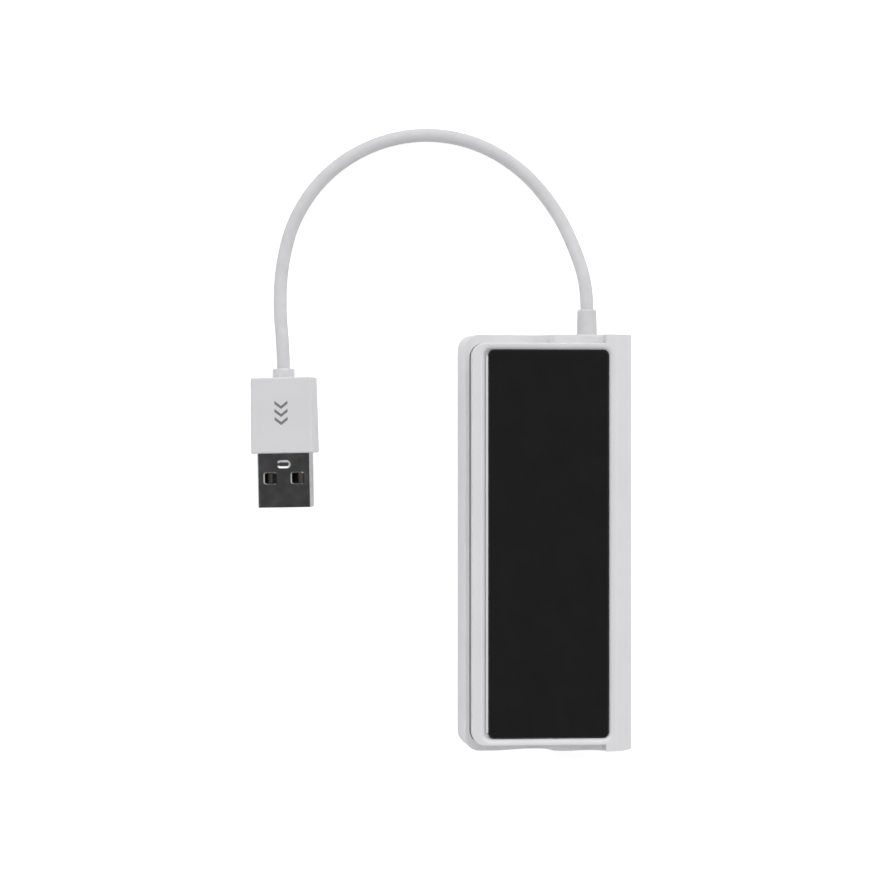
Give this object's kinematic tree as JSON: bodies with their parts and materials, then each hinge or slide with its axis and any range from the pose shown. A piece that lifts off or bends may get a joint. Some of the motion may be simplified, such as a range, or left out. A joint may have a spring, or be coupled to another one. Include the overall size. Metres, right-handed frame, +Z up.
{
  "type": "usb network adapter",
  "caption": "Low white desk adapter with a black inset top, a network jack in one end, sockets along one side and a short captive cord ending in a plug.",
  "frame": {"origin": "on the surface that the feet stand on, under the middle of the case", "axes": "+X towards the long side with the three sockets, +Y along the case towards the cord's end, +Z up"},
  "size_m": [0.085, 0.1405, 0.02],
  "materials": {
    "case_white": "white ABS, fine satin gloss",
    "panel_black": "black acrylic inlay, satin face",
    "adhesive": "double-sided foam tape",
    "screw_steel": "zinc plated",
    "foot_rubber": "grey silicone rubber",
    "board": "green solder mask on glass-epoxy",
    "socket_steel": "nickel-plated sheet",
    "socket_plastic": "black glass-filled nylon",
    "contact_gold": "gold-flashed bronze",
    "light_green": "translucent epoxy",
    "light_amber": "translucent epoxy",
    "chip_black": "moulding compound",
    "capacitor_can": "drawn can",
    "ceramic_tan": "sintered ceramic",
    "cord_white": "soft white TPE, satin",
    "plug_white": "white ABS, fine satin gloss",
    "wire_red": "PVC",
    "wire_white": "PVC",
    "wire_green": "PVC",
    "wire_black": "PVC"
  },
  "bodies": {
    "root": {"black_panel": "panel_black", "bottom_case": "case_white", "bulk_capacitor": "capacitor_can", "case_screws": "screw_steel", "chip_capacitors": "ceramic_tan", "chip_resistors": "chip_black", "cord": "cord_white", "cord_boot": "cord_white", "cord_wire_black": "wire_black", "cord_wire_green": "wire_green", "cord_wire_red": "wire_red", "cord_wire_white": "wire_white", "hub_chip": "chip_black", "hub_crystal": "socket_steel", "main_board": "board", "network_chip": "chip_black", "network_crystal": "socket_steel", "network_jack_contacts": "contact_gold", "network_jack_housing": "socket_plastic", "network_jack_light_left": "light_green", "network_jack_light_right": "light_amber", "network_jack_shield": "socket_steel", "network_transformer": "chip_black", "panel_adhesive": "adhesive", "plug_contacts": "contact_gold", "plug_grip": "plug_white", "plug_insert": "socket_plastic", "plug_shell": "socket_steel", "plug_strain_relief": "cord_white", "port_fascia": "case_white", "regulator_chip": "chip_black", "rubber_foot_1": "foot_rubber", "rubber_foot_2": "foot_rubber", "rubber_foot_3": "foot_rubber", "rubber_foot_4": "foot_rubber", "top_cover": "case_white", "usb_socket_contacts_1": "contact_gold", "usb_socket_contacts_2": "contact_gold", "usb_socket_contacts_3": "contact_gold", "usb_socket_shell_1": "socket_steel", "usb_socket_shell_2": "socket_steel", "usb_socket_shell_3": "socket_steel", "usb_socket_tongue_1": "socket_plastic", "usb_socket_tongue_2": "socket_plastic", "usb_socket_tongue_3": "socket_plastic"}
  },
  "joints": []
}
